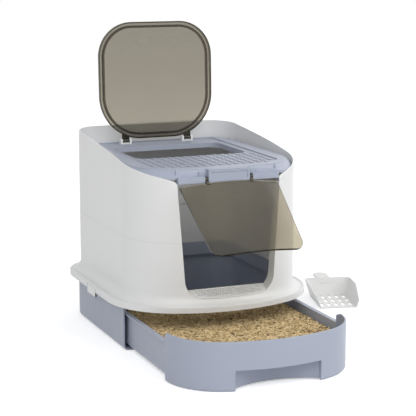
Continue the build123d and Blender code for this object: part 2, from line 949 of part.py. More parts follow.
os.makedirs("parts", exist_ok=True)
write("base_shell", make_base())
write("drawer_tray", pulled(make_tray()))
write("litter_bed", pulled(make_litter()))
write("hood_lower", make_hood_lower())
write("hood_upper", make_hood_upper())
write("entry_step", make_sill())
write("top_deck", make_deck())
write("hinge_cover", make_cover())
write("lid_panel", make_lid())
write("front_flap", make_flap())
write("scoop", make_scoop())
for side, word in ((-1, "left"), (1, "right")):
    write("lid_hinge_clip_" + word, make_lid_clip(side))
    write("lid_hinge_pin_" + word, make_lid_pin(side))
    write("flap_hinge_pin_" + word, make_flap_pin(side))
    write("side_clip_" + word, make_side_clip(side))
    write("side_clip_pin_" + word, make_side_clip_pin(side))
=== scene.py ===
import json
from math import radians

import bmesh
import bpy
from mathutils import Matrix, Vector


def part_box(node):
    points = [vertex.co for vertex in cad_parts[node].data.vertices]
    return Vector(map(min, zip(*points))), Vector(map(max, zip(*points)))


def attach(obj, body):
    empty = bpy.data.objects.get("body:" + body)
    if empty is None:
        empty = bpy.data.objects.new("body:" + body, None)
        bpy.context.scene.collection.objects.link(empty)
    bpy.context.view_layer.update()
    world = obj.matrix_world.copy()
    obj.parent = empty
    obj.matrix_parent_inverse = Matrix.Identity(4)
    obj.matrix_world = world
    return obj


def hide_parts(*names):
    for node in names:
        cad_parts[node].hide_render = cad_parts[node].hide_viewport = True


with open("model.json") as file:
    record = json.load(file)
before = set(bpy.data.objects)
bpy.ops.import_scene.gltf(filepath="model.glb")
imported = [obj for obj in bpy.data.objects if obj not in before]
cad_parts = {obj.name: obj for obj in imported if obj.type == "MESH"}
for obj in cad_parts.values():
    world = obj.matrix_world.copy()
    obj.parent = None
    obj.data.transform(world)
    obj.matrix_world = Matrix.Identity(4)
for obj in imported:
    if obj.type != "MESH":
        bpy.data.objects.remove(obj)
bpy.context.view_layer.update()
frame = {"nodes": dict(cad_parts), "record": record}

bl_info = {
    "name": "Top-entry litter box",
    "version": (1, 0, 0),
    "blender": (4, 5, 0),
    "location": "View3D > Sidebar > Litter box",
    "description": "Finishes, litter and studio for a litter box with a lid, a flap and a drawer",
    "category": "Object",
}

LITTER_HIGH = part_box("litter_bed")[1]
HINGES = {
    joint["name"]: joint["pos_m"]
    for joint in frame["record"]["behaviour"]["joints"] if joint["type"] == "hinge"
}

# How the smoked panels stand at rest, in degrees and metres. The lid is turned from lying flat.
# The flap is turned from hanging straight down, and its faces look a quarter turn further.
LID_TURN = -92
LID_MIDDLE = (0, 0.1406, 0.5134)
FLAP_TURN = -54

# Down the hanging flap from its hinge: where the painted shade of its foot starts, and a height
# past its end
FLAP_FOOT = -0.1948
PAST_FLAP_END = -0.3

# The deck's height between its grip bumps, and at the top of the bumps, in metres; the painted
# shade between the bumps lies between these heights
WELL_FLOOR = 0.3750
BUMP_TOP = 0.3764

# Studio, in metres and degrees: lamps, camera and floor. The floor's glow is given near the
# object and far from it, each as a distance and a strength.
LAMP_PLACES = {
    "main_lamp": (-2.0, -2.8, 3.2),
    "fill_lamp": (2.4, -2.6, 3.0),
    "rear_lamp": (2.8, 2.0, 2.6),
}
LAMP_AIM = (0, 0, 0.2)
LAMP_SIZE = 4.0
CAMERA_PLACE = (-1.0848, -2.7674, 0.8155)
CAMERA_DOWN = 10.782
CAMERA_RIGHT = 22.603
FLOOR_HALF = 8
NEAR_GLOW, FAR_GLOW = (0.5, 0.46), (3.0, 0.66)


# Settings that a user would change

class LitterBoxFinish(bpy.types.PropertyGroup):
    blue: bpy.props.FloatVectorProperty(
        name="Blue-grey plastic", description="Base, drawer and deck",
        default=(0.37, 0.405, 0.495), subtype="COLOR", min=0, max=1)
    white: bpy.props.FloatVectorProperty(
        name="White plastic", description="Both hood sections and the hinge brackets",
        default=(0.77, 0.775, 0.775), subtype="COLOR", min=0, max=1)
    smoke: bpy.props.FloatVectorProperty(
        name="Smoked plastic of the flap", description="The front flap",
        default=(0.465, 0.415, 0.305), subtype="COLOR", min=0, max=1)
    lid_smoke: bpy.props.FloatVectorProperty(
        name="Smoked plastic of the lid", description="The lid over the entry hole",
        default=(0.27, 0.25, 0.20), subtype="COLOR", min=0, max=1)
    # Painted shade on the rims, bead walls and foot of the smoked panels
    smoke_edge_shade: bpy.props.FloatVectorProperty(
        name="Smoked plastic, seen along its edge", description="Rims and beads of lid and flap",
        default=(0.045, 0.036, 0.022), subtype="COLOR", min=0, max=1)
    scoop: bpy.props.FloatVectorProperty(
        name="Scoop plastic", description="The loose scoop",
        default=(0.80, 0.80, 0.79), subtype="COLOR", min=0, max=1)
    edge_round: bpy.props.FloatProperty(
        name="Edge rounding", description="Radius of the soft highlight on moulded edges",
        default=0.001, min=0, unit="LENGTH", subtype="DISTANCE")
    grain_size: bpy.props.FloatProperty(
        name="Mould grain", description="Size of the fine grain of the moulded faces",
        default=0.0012, min=0.0001, unit="LENGTH", subtype="DISTANCE")


class LitterBoxFill(bpy.types.PropertyGroup):
    pellet_length: bpy.props.FloatProperty(
        name="Pellet length", description="Length of one litter pellet",
        default=0.0095, min=0.001, unit="LENGTH", subtype="DISTANCE")
    pellet_radius: bpy.props.FloatProperty(
        name="Pellet radius", description="Radius of one litter pellet",
        default=0.0015, min=0.0002, unit="LENGTH", subtype="DISTANCE")
    pellet_density: bpy.props.FloatProperty(
        name="Pellets per square metre", description="How closely the pellets lie",
        default=60000, min=100, max=64000)
    heap: bpy.props.FloatProperty(
        name="Unevenness", description="How far the bed rises and falls",
        default=0.005, min=0, unit="LENGTH", subtype="DISTANCE")
    pellet_dark: bpy.props.FloatVectorProperty(
        name="Darkest pellet", description="Tone of the darkest pellets",
        default=(0.38, 0.275, 0.13), subtype="COLOR", min=0, max=1)
    pellet_light: bpy.props.FloatVectorProperty(
        name="Lightest pellet", description="Tone of the lightest pellets",
        default=(0.86, 0.68, 0.40), subtype="COLOR", min=0, max=1)
    # The litter's own tan, darkened as painted shade between and under the pellets
    shaded_packed_dark: bpy.props.FloatVectorProperty(
        name="Packed litter, dark", description="Darkest tone between and under the pellets",
        default=(0.11, 0.078, 0.036), subtype="COLOR", min=0, max=1)
    shaded_packed_light: bpy.props.FloatVectorProperty(
        name="Packed litter, light", description="Lightest tone between and under the pellets",
        default=(0.38, 0.27, 0.14), subtype="COLOR", min=0, max=1)
    seed: bpy.props.IntProperty(
        name="Seed", description="Changes how the pellets fall", default=7)


class LitterBoxStudio(bpy.types.PropertyGroup):
    sky: bpy.props.FloatProperty(
        name="Sky light", description="Strength of the even light from all sides",
        default=0.36, min=0)
    key: bpy.props.FloatProperty(
        name="Main lamp", description="Power of the large lamp at the upper left",
        default=84, min=0, unit="POWER")
    fill: bpy.props.FloatProperty(
        name="Fill lamp", description="Power of the lamp at the right",
        default=90, min=0, unit="POWER")
    rear: bpy.props.FloatProperty(
        name="Rear lamp", description="Power of the weak lamp behind the box",
        default=30, min=0, unit="POWER")
    focal_length: bpy.props.FloatProperty(
        name="Focal length", description="Focal length of the camera in millimetres",
        default=121.62, min=1, unit="CAMERA")


# Node helpers

def put(tree, kind, inputs=None, **settings):
    """Add a node, set its options, and link or set the inputs given by name or number."""
    made = tree.nodes.new(kind)
    for name, value in settings.items():
        setattr(made, name, value)
    for name, value in (inputs or {}).items():
        if isinstance(value, bpy.types.NodeSocket):
            tree.links.new(value, made.inputs[name])
        else:
            made.inputs[name].default_value = value
    return made


def maths(tree, operation, first, second=0.0, third=None):
    """Math node; each value is a number or a socket, and the result is its output socket."""
    inputs = {0: first, 1: second}
    if third is not None:
        inputs[2] = third
    return put(tree, "ShaderNodeMath", inputs, operation=operation).outputs[0]


def new_tree(kind, name, inputs, outputs):
    """Node group with named sockets; gives the tree, its input node and its output node."""
    tree = bpy.data.node_groups.new(name, kind)
    for label, socket, value in inputs:
        made = tree.interface.new_socket(name=label, in_out="INPUT", socket_type=socket)
        if value is not None:
            made.default_value = value
    for label, socket in outputs:
        tree.interface.new_socket(name=label, in_out="OUTPUT", socket_type=socket)
    return tree, tree.nodes.new("NodeGroupInput"), tree.nodes.new("NodeGroupOutput")


def moulded_group():
    """Moulded plastic: soft clouding of the colour, uneven gloss and a fine grain."""
    tree, given, result = new_tree(
        "ShaderNodeTree", "Moulded surface",
        [("Position", "NodeSocketVector", None), ("Colour", "NodeSocketColor", (0.5, 0.5, 0.5, 1)),
         ("Clouding", "NodeSocketFloat", 0.03), ("Gloss", "NodeSocketFloat", 0.4),
         ("Grain size", "NodeSocketFloat", 0.001)],
        [("Colour", "NodeSocketColor"), ("Roughness", "NodeSocketFloat"),
         ("Grain", "NodeSocketFloat")])
    clouds = put(tree, "ShaderNodeTexNoise",
                 {"Vector": given.outputs["Position"], "Scale": 9.0, "Detail": 4.0})
    centred = maths(tree, "SUBTRACT", clouds.outputs["Fac"], 0.5)
    change = maths(tree, "MULTIPLY", centred, given.outputs["Clouding"])
    level = maths(tree, "MULTIPLY_ADD", change, 2.0, 1.0)
    tinted = put(tree, "ShaderNodeHueSaturation",
                 {"Color": given.outputs["Colour"], "Value": level})
    tree.links.new(tinted.outputs[0], result.inputs["Colour"])
    smears = put(tree, "ShaderNodeTexNoise",
                 {"Vector": given.outputs["Position"], "Scale": 38.0, "Detail": 5.0,
                  "Distortion": 0.6})
    uneven = maths(tree, "SUBTRACT", smears.outputs["Fac"], 0.5)
    gloss = maths(tree, "MULTIPLY_ADD", uneven, 0.18, given.outputs["Gloss"])
    tree.links.new(gloss, result.inputs["Roughness"])
    pitch = maths(tree, "DIVIDE", 1.0, given.outputs["Grain size"])
    grain = put(tree, "ShaderNodeTexNoise",
                {"Vector": given.outputs["Position"], "Scale": pitch, "Detail": 2.0})
    tree.links.new(grain.outputs["Fac"], result.inputs["Grain"])
    return tree


def edge_group():
    """Smoked plastic: 1 on the edges and bead walls of a panel, 0 on its broad faces, as the mask
    of their painted shade.
    """
    tree, given, result = new_tree(
        "ShaderNodeTree", "Panel edges",
        [("Normal", "NodeSocketVector", None), ("Turn", "NodeSocketVector", None)],
        [("Edge", "NodeSocketFloat")])
    turned = put(tree, "ShaderNodeMapping",
                 {"Vector": given.outputs["Normal"], "Rotation": given.outputs["Turn"]},
                 vector_type="TEXTURE")
    parts = put(tree, "ShaderNodeSeparateXYZ", {"Vector": turned.outputs[0]})
    facing = maths(tree, "ABSOLUTE", parts.outputs["Z"])
    ramp = put(tree, "ShaderNodeMapRange",
               {"Value": facing, "From Min": 0.9, "From Max": 0.5},
               interpolation_type="SMOOTHSTEP")
    tree.links.new(ramp.outputs[0], result.inputs["Edge"])
    return tree


def inset_group():
    """Distance inward from the edge of a rectangle with round corners, in metres."""
    tree, given, result = new_tree(
        "ShaderNodeTree", "Distance from the rim",
        [("Position", "NodeSocketVector", None), ("Half width", "NodeSocketFloat", 0.1),
         ("Half length", "NodeSocketFloat", 0.1), ("Front corner", "NodeSocketFloat", 0.05),
         ("Rear corner", "NodeSocketFloat", 0.05)],
        [("Distance", "NodeSocketFloat")])
    parts = put(tree, "ShaderNodeSeparateXYZ", {"Vector": given.outputs["Position"]})
    rear = maths(tree, "GREATER_THAN", parts.outputs["Y"], 0.0)
    corner = put(tree, "ShaderNodeMapRange",
                 {"Value": rear, "To Min": given.outputs["Front corner"],
                  "To Max": given.outputs["Rear corner"]}).outputs[0]
    beyond = []
    for axis, half in (("X", "Half width"), ("Y", "Half length")):
        side = maths(tree, "ABSOLUTE", parts.outputs[axis])
        flat = maths(tree, "SUBTRACT", given.outputs[half], corner)
        beyond.append(maths(tree, "SUBTRACT", side, flat))
    squares = []
    for value in beyond:
        outside = maths(tree, "MAXIMUM", value, 0.0)
        squares.append(maths(tree, "MULTIPLY", outside, outside))
    round_part = maths(tree, "SQRT", maths(tree, "ADD", squares[0], squares[1]))
    flat_part = maths(tree, "MINIMUM", maths(tree, "MAXIMUM", beyond[0], beyond[1]), 0.0)
    reached = maths(tree, "ADD", round_part, flat_part)
    inward = maths(tree, "SUBTRACT", corner, reached)
    tree.links.new(inward, result.inputs["Distance"])
    return tree


def band(tree, distance, low, high, soft=0.0006):
    """1 between two distances, with soft sides."""
    rise = put(tree, "ShaderNodeMapRange",
               {"Value": distance, "From Min": low - soft, "From Max": low + soft},
               interpolation_type="SMOOTHSTEP")
    fall = put(tree, "ShaderNodeMapRange",
               {"Value": distance, "From Min": high + soft, "From Max": high - soft},
               interpolation_type="SMOOTHSTEP")
    return maths(tree, "MULTIPLY", rise.outputs[0], fall.outputs[0])


def new_material(name):
    """Empty material with its shader; gives the material, its tree, shader and coordinates."""
    material = bpy.data.materials.new(name)
    material.use_nodes = True
    tree = material.node_tree
    shader = tree.nodes["Principled BSDF"]
    where = tree.nodes.new("ShaderNodeTexCoord")
    return material, tree, shader, where


def place_group(tree, name, inputs):
    """Place one of the shared shader groups."""
    return put(tree, "ShaderNodeGroup", inputs, node_tree=bpy.data.node_groups[name])


def surface(tree, shader, grain, depth, edge_round):
    """Grain on softly rounded edges, into the shader's normal."""
    soft = put(tree, "ShaderNodeBevel", {"Radius": edge_round}, samples=6)
    bump = put(tree, "ShaderNodeBump",
               {"Height": grain, "Strength": 0.35, "Distance": depth, "Normal": soft.outputs[0]})
    tree.links.new(bump.outputs[0], shader.inputs["Normal"])


def moulded_plastic(name, colour, gloss, clouding, depth=0.00012, lines=()):
    """Opaque plastic; each line is a darker band: its axis, both ends and its strength."""
    finish = bpy.context.scene.litter_box_finish
    material, tree, shader, where = new_material(name)
    face = place_group(tree, "Moulded surface", {
        "Position": where.outputs["Object"], "Colour": (*colour, 1), "Gloss": gloss,
        "Clouding": clouding, "Grain size": finish.grain_size})
    tone = face.outputs["Colour"]
    parts = put(tree, "ShaderNodeSeparateXYZ", {"Vector": where.outputs["Object"]})
    for axis, low, high, strength in lines:
        line = band(tree, parts.outputs[axis], low, high, 0.0003)
        level = maths(tree, "MULTIPLY_ADD", line, -strength, 1.0)
        tone = put(tree, "ShaderNodeHueSaturation", {"Color": tone, "Value": level}).outputs[0]
    tree.links.new(tone, shader.inputs["Base Color"])
    tree.links.new(face.outputs["Roughness"], shader.inputs["Roughness"])
    shader.inputs["IOR"].default_value = 1.46
    surface(tree, shader, face.outputs["Grain"], depth, finish.edge_round)
    return material


def smoked_plastic(name, colour, shade, turn, rim):
    """See-through plastic of a panel that is turned about X by that many degrees.

    Shade is the share of the lamps' light that each face of it holds back from what lies behind.
    Rim is a function that gives the bands of painted shade, and how much the painted shade on
    edges and bead walls counts.
    """
    finish = bpy.context.scene.litter_box_finish
    material, tree, shader, where = new_material(name)
    edges = place_group(tree, "Panel edges", {
        "Normal": where.outputs["Normal"], "Turn": (radians(turn), 0, 0)})
    lines, plain = rim(tree, where.outputs["Object"])
    # Painted shade: the edge colour is mixed in along edges, bead walls and rim bands
    walls = maths(tree, "MULTIPLY", edges.outputs["Edge"], plain)
    dark = maths(tree, "MAXIMUM", walls, lines)
    face = place_group(tree, "Moulded surface", {
        "Position": where.outputs["Object"], "Colour": (*colour, 1), "Gloss": 0.09,
        "Clouding": 0.05, "Grain size": 0.004})
    grain_depth, edge_round = 0.00005, 0.0007
    tint = put(tree, "ShaderNodeMix", {"Factor": dark}, data_type="RGBA")
    colours = [socket for socket in tint.inputs if socket.type == "RGBA"]
    tree.links.new(face.outputs["Colour"], colours[0])
    colours[1].default_value = (*finish.smoke_edge_shade, 1)
    mixed = [socket for socket in tint.outputs if socket.type == "RGBA"][0]
    tree.links.new(mixed, shader.inputs["Base Color"])
    tree.links.new(face.outputs["Roughness"], shader.inputs["Roughness"])
    shader.inputs["Transmission Weight"].default_value = 1.0
    ray = tree.nodes.new("ShaderNodeLightPath")
    held = maths(tree, "MULTIPLY_ADD", ray.outputs["Is Shadow Ray"], shade - 1.0, 1.0)
    tree.links.new(held, shader.inputs["Alpha"])
    shader.inputs["IOR"].default_value = 1.45
    shader.inputs["Specular IOR Level"].default_value = 0.16
    surface(tree, shader, face.outputs["Grain"], grain_depth, edge_round)
    return material


def pin_metal():
    """Drawn steel, with fine streaks along the pins."""
    material, tree, shader, where = new_material("Pin metal")
    streaks = put(tree, "ShaderNodeMapping",
                  {"Vector": where.outputs["Object"], "Scale": (60, 1500, 1500)})
    drawn = put(tree, "ShaderNodeTexNoise", {"Vector": streaks.outputs[0], "Scale": 1.0})
    tone = put(tree, "ShaderNodeValToRGB", {"Fac": drawn.outputs["Fac"]})
    tone.color_ramp.elements[0].color = (0.32, 0.32, 0.33, 1)
    tone.color_ramp.elements[1].color = (0.52, 0.52, 0.54, 1)
    tree.links.new(tone.outputs[0], shader.inputs["Base Color"])
    shader.inputs["Metallic"].default_value = 1.0
    rough = maths(tree, "MULTIPLY_ADD", drawn.outputs["Fac"], 0.2, 0.22)
    tree.links.new(rough, shader.inputs["Roughness"])
    bump = put(tree, "ShaderNodeBump",
               {"Height": drawn.outputs["Fac"], "Strength": 0.2, "Distance": 0.00004})
    tree.links.new(bump.outputs[0], shader.inputs["Normal"])
    return material


def litter_material(name, dark, light, attribute):
    """Pressed plant fibre with fine crumbs over it.

    Each pellet's own tone comes from an attribute, and where none is named, from a noise.
    """
    material, tree, shader, where = new_material(name)
    crumbs = put(tree, "ShaderNodeTexNoise",
                 {"Vector": where.outputs["Object"], "Scale": 900.0, "Detail": 5.0})
    if attribute:
        own = put(tree, "ShaderNodeAttribute", attribute_name=attribute).outputs["Fac"]
    else:
        own = put(tree, "ShaderNodeTexNoise",
                  {"Vector": where.outputs["Object"], "Scale": 260.0}).outputs["Fac"]
    mixed = maths(tree, "MULTIPLY_ADD", crumbs.outputs["Fac"], 0.35, own)
    ramp = put(tree, "ShaderNodeValToRGB", {"Fac": maths(tree, "MULTIPLY", mixed, 0.78)})
    ramp.color_ramp.elements[0].color = (*dark, 1)
    ramp.color_ramp.elements[1].color = (*light, 1)
    tree.links.new(ramp.outputs[0], shader.inputs["Base Color"])
    rough = maths(tree, "MULTIPLY_ADD", crumbs.outputs["Fac"], 0.2, 0.75)
    tree.links.new(rough, shader.inputs["Roughness"])
    bump = put(tree, "ShaderNodeBump",
               {"Height": crumbs.outputs["Fac"], "Strength": 0.6, "Distance": 0.0003})
    tree.links.new(bump.outputs[0], shader.inputs["Normal"])
    return material


def seen_directly(tree):
    """1 where the camera, a reflection or a see-through face looks at it."""
    ray = tree.nodes.new("ShaderNodeLightPath")
    mirrored = maths(
        tree, "MAXIMUM", ray.outputs["Is Glossy Ray"], ray.outputs["Is Transmission Ray"])
    return maths(tree, "MAXIMUM", ray.outputs["Is Camera Ray"], mirrored)


# Litter

def node_mesh(name, title):
    """Copy of a CAD node's mesh with its loose corners joined."""
    mesh = frame["nodes"][name].data.copy()
    mesh.name = title
    work = bmesh.new()
    work.from_mesh(mesh)
    bmesh.ops.remove_doubles(work, verts=work.verts, dist=1e-6)
    work.to_mesh(mesh)
    work.free()
    mesh.materials.clear()
    return mesh


def litter_top_mesh(margin):
    """The bed's top face, kept back from the walls so that no pellet reaches through them."""
    mesh = node_mesh("litter_bed", "litter_top")
    top = LITTER_HIGH.z
    work = bmesh.new()
    work.from_mesh(mesh)
    lower = [
        face for face in work.faces
        if face.normal.z < 0.9 or abs(face.calc_center_median().z - top) > 1e-4
    ]
    bmesh.ops.delete(work, geom=lower, context="FACES")
    bmesh.ops.dissolve_faces(work, faces=list(work.faces))
    bmesh.ops.inset_region(
        work, faces=list(work.faces), thickness=margin, use_boundary=True, use_even_offset=True)
    keep = max(work.faces, key=lambda face: face.calc_area())
    bmesh.ops.delete(work, geom=[face for face in work.faces if face != keep], context="FACES")
    bmesh.ops.triangulate(work, faces=list(work.faces))
    work.to_mesh(mesh)
    work.free()
    return mesh


def pellet_tree():
    """Geometry Nodes: pellets strewn over a face, lying flat at chance angles."""
    tree, given, result = new_tree(
        "GeometryNodeTree", "Strewn pellets",
        [("Geometry", "NodeSocketGeometry", None), ("Density", "NodeSocketFloat", 1000.0),
         ("Length", "NodeSocketFloat", 0.008), ("Radius", "NodeSocketFloat", 0.0014),
         ("Unevenness", "NodeSocketFloat", 0.003), ("Seed", "NodeSocketInt", 0),
         ("Material", "NodeSocketMaterial", None)],
        [("Geometry", "NodeSocketGeometry")])
    points = put(tree, "GeometryNodeDistributePointsOnFaces",
                 {"Mesh": given.outputs["Geometry"], "Density": given.outputs["Density"],
                  "Seed": given.outputs["Seed"]})
    broad = put(tree, "ShaderNodeTexNoise", {"Scale": 16.0, "Detail": 2.0})
    loose = put(tree, "FunctionNodeRandomValue",
                {"Seed": given.outputs["Seed"]}, data_type="FLOAT")
    loose_out = [socket for socket in loose.outputs if socket.type == "VALUE"][0]
    blend = maths(tree, "ADD", broad.outputs["Fac"], loose_out)
    # Noise and chance add up to 1 on average, so most pellets lie a little above the face
    mostly_up = 0.75
    centred = maths(tree, "SUBTRACT", blend, mostly_up)
    rise = maths(tree, "MULTIPLY", centred, given.outputs["Unevenness"])
    offset = put(tree, "ShaderNodeCombineXYZ", {"Z": rise})
    moved = put(tree, "GeometryNodeSetPosition",
                {"Geometry": points.outputs["Points"], "Offset": offset.outputs[0]})
    pellet = put(tree, "GeometryNodeMeshCylinder",
                 {"Vertices": 6, "Radius": given.outputs["Radius"],
                  "Depth": given.outputs["Length"]})
    turn = put(tree, "FunctionNodeRandomValue",
               {"Seed": given.outputs["Seed"]}, data_type="FLOAT_VECTOR")
    vectors = [socket for socket in turn.inputs if socket.type == "VECTOR"]
    vectors[0].default_value = (radians(68), 0, 0)
    vectors[1].default_value = (radians(112), radians(360), radians(360))
    size = put(tree, "FunctionNodeRandomValue",
               {"Seed": given.outputs["Seed"]}, data_type="FLOAT_VECTOR")
    vectors = [socket for socket in size.inputs if socket.type == "VECTOR"]
    vectors[0].default_value = (0.8, 0.8, 0.5)
    vectors[1].default_value = (1.15, 1.15, 1.2)
    turn_out = [socket for socket in turn.outputs if socket.type == "VECTOR"][0]
    size_out = [socket for socket in size.outputs if socket.type == "VECTOR"][0]
    strewn = put(tree, "GeometryNodeInstanceOnPoints",
                 {"Points": moved.outputs["Geometry"], "Instance": pellet.outputs["Mesh"],
                  "Rotation": turn_out, "Scale": size_out})
    tone = put(tree, "FunctionNodeRandomValue", {"Seed": 3}, data_type="FLOAT")
    tone_out = [socket for socket in tone.outputs if socket.type == "VALUE"][0]
    named = put(tree, "GeometryNodeStoreNamedAttribute",
                {"Geometry": strewn.outputs["Instances"], "Name": "tone", "Value": tone_out},
                data_type="FLOAT", domain="INSTANCE")
    real = put(tree, "GeometryNodeRealizeInstances", {"Geometry": named.outputs["Geometry"]})
    finished = put(tree, "GeometryNodeSetMaterial",
                   {"Geometry": real.outputs["Geometry"], "Material": given.outputs["Material"]})
    tree.links.new(finished.outputs["Geometry"], result.inputs["Geometry"])
    return tree


def add_piece(name, mesh):
    """New object at the origin with this mesh."""
    piece = bpy.data.objects.new(name, mesh)
    bpy.context.scene.collection.objects.link(piece)
    return piece


def grown(piece, tree, values):
    """Run a Geometry Nodes tree on a piece and keep the result as a plain mesh."""
    modifier = piece.modifiers.new(tree.name, "NODES")
    modifier.node_group = tree
    for socket in tree.interface.items_tree:
        if socket.in_out == "INPUT" and socket.name in values:
            modifier[socket.identifier] = values[socket.name]
    bpy.context.view_layer.update()
    evaluated = piece.evaluated_get(bpy.context.evaluated_depsgraph_get())
    mesh = bpy.data.meshes.new_from_object(evaluated)
    piece.modifiers.remove(modifier)
    piece.data = mesh
    return piece


def dress(names, material):
    """Give CAD nodes a finish in all of their material slots."""
    for name in names:
        for slot in frame["nodes"][name].material_slots:
            slot.material = material


# Operators, one for each piece or group of like pieces

class LITTERBOX_OT_base(bpy.types.Operator):
    """Finish the base housing and the drawer tray"""
    bl_idname = "litterbox.base"
    bl_label = "Base and drawer"

    def execute(self, context):
        blue = moulded_plastic("Blue plastic", context.scene.litter_box_finish.blue, 0.42, 0.03)
        dress(["base_shell", "drawer_tray"], blue)
        return {"FINISHED"}


class LITTERBOX_OT_hood(bpy.types.Operator):
    """Finish both sections of the hood and the sill grid"""
    bl_idname = "litterbox.hood"
    bl_label = "Hood"

    def execute(self, context):
        colour = context.scene.litter_box_finish.white
        # The seam between the two sections is a fine darker line
        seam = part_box("hood_lower")[1].z
        white = moulded_plastic(
            "White plastic", colour, 0.36, 0.012,
            lines=[("Z", seam - 0.0004, seam + 0.0004, 0.14)])
        dress(["hood_lower", "hood_upper", "entry_step"], white)
        return {"FINISHED"}


class LITTERBOX_OT_deck(bpy.types.Operator):
    """Finish the deck with its grip bumps and the cover between the flap hinges"""
    bl_idname = "litterbox.deck"
    bl_label = "Deck"

    def execute(self, context):
        # Painted shade: the deck's colour is darker on the floor between the grip bumps
        shade_between_bumps = ("Z", WELL_FLOOR - 0.0002, BUMP_TOP - 0.0005, 0.20)
        blue = moulded_plastic(
            "Deck plastic", context.scene.litter_box_finish.blue, 0.40, 0.03, 0.00016,
            lines=[shade_between_bumps])
        dress(["top_deck", "hinge_cover"], blue)
        return {"FINISHED"}


class LITTERBOX_OT_lid(bpy.types.Operator):
    """Finish the smoked lid with its double bead"""
    bl_idname = "litterbox.lid"
    bl_label = "Lid"

    def execute(self, context):
        def bead(tree, position):
            """Painted shade along the rim and the inner bead, and little of it in the groove
            between them.
            """
            panel = put(tree, "ShaderNodeMapping",
                        {"Vector": position, "Location": LID_MIDDLE,
                         "Rotation": (radians(LID_TURN), 0, 0)}, vector_type="TEXTURE")
            inset = place_group(tree, "Distance from the rim", {
                "Position": panel.outputs[0], "Half width": 0.1315, "Half length": 0.1275,
                "Front corner": 0.076, "Rear corner": 0.095}).outputs["Distance"]
            outer = band(tree, inset, -0.01, 0.0030)
            inner = band(tree, inset, 0.0076, 0.0128)
            groove = band(tree, inset, 0.0034, 0.0072)
            plain = maths(tree, "MULTIPLY_ADD", groove, -0.8, 1.0)
            return maths(tree, "MAXIMUM", outer, inner), plain

        finish = context.scene.litter_box_finish
        smoke = smoked_plastic("Smoked lid plastic", finish.lid_smoke, 0.25, LID_TURN, bead)
        dress(["lid_panel"], smoke)
        return {"FINISHED"}


class LITTERBOX_OT_flap(bpy.types.Operator):
    """Finish the smoked front flap"""
    bl_idname = "litterbox.flap"
    bl_label = "Front flap"

    def execute(self, context):
        def foot(tree, position):
            """Painted shade along the panel's foot, measured down from the hinge."""
            panel = put(tree, "ShaderNodeMapping",
                        {"Vector": position, "Location": HINGES["flap_hinge"],
                         "Rotation": (radians(FLAP_TURN), 0, 0)}, vector_type="TEXTURE")
            parts = put(tree, "ShaderNodeSeparateXYZ", {"Vector": panel.outputs[0]})
            return band(tree, parts.outputs["Z"], PAST_FLAP_END, FLAP_FOOT), 1.0

        finish = context.scene.litter_box_finish
        smoke = smoked_plastic(
            "Smoked flap plastic", finish.smoke, 0.7, FLAP_TURN + 90, foot)
        dress(["front_flap"], smoke)
        return {"FINISHED"}


class LITTERBOX_OT_hardware(bpy.types.Operator):
    """Finish the side clips, the lid's brackets and all hinge pins"""
    bl_idname = "litterbox.hardware"
    bl_label = "Clips, brackets and pins"

    def execute(self, context):
        white = bpy.data.materials["White plastic"]
        pins = [name for name in frame["nodes"] if "_pin_" in name]
        dress(["lid_hinge_clip_left", "lid_hinge_clip_right"], white)
        # Painted shade of a slit at both ends of each clip sets it off from the skirt
        low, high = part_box("side_clip_left")
        slit = 0.0016
        clip = moulded_plastic(
            "Side clip plastic", context.scene.litter_box_finish.white, 0.36, 0.012,
            lines=[("Y", end - slit, end + slit, 0.85) for end in (low.y, high.y)])
        dress(["side_clip_left", "side_clip_right"], clip)
        dress(pins, pin_metal())
        return {"FINISHED"}


class LITTERBOX_OT_litter(bpy.types.Operator):
    """Fill the drawer with pellets"""
    bl_idname = "litterbox.litter"
    bl_label = "Litter"

    def execute(self, context):
        fill = context.scene.litter_box_fill
        mass = add_piece("litter_mass", node_mesh("litter_bed", "litter_mass"))
        # The mass's tan is darkened as painted shade in the gaps between pellets
        mass.data.materials.append(
            litter_material("Packed litter", fill.shaded_packed_dark, fill.shaded_packed_light, ""))
        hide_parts("litter_bed")
        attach(mass, "drawer")
        pellets = add_piece("litter_pellets", litter_top_mesh(fill.pellet_length * 0.5))
        fibre = litter_material("Litter pellets", fill.pellet_dark, fill.pellet_light, "tone")
        grown(pellets, pellet_tree(), {
            "Density": fill.pellet_density, "Length": fill.pellet_length,
            "Radius": fill.pellet_radius, "Unevenness": fill.heap, "Seed": fill.seed,
            "Material": fibre})
        if not pellets.data.polygons:
            raise RuntimeError("No pellets came out of the tree")
        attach(pellets, "drawer")
        return {"FINISHED"}


class LITTERBOX_OT_scoop(bpy.types.Operator):
    """Finish the loose scoop"""
    bl_idname = "litterbox.scoop"
    bl_label = "Scoop"

    def execute(self, context):
        pale = moulded_plastic("Scoop plastic", context.scene.litter_box_finish.scoop, 0.34, 0.02)
        dress(["scoop"], pale)
        return {"FINISHED"}


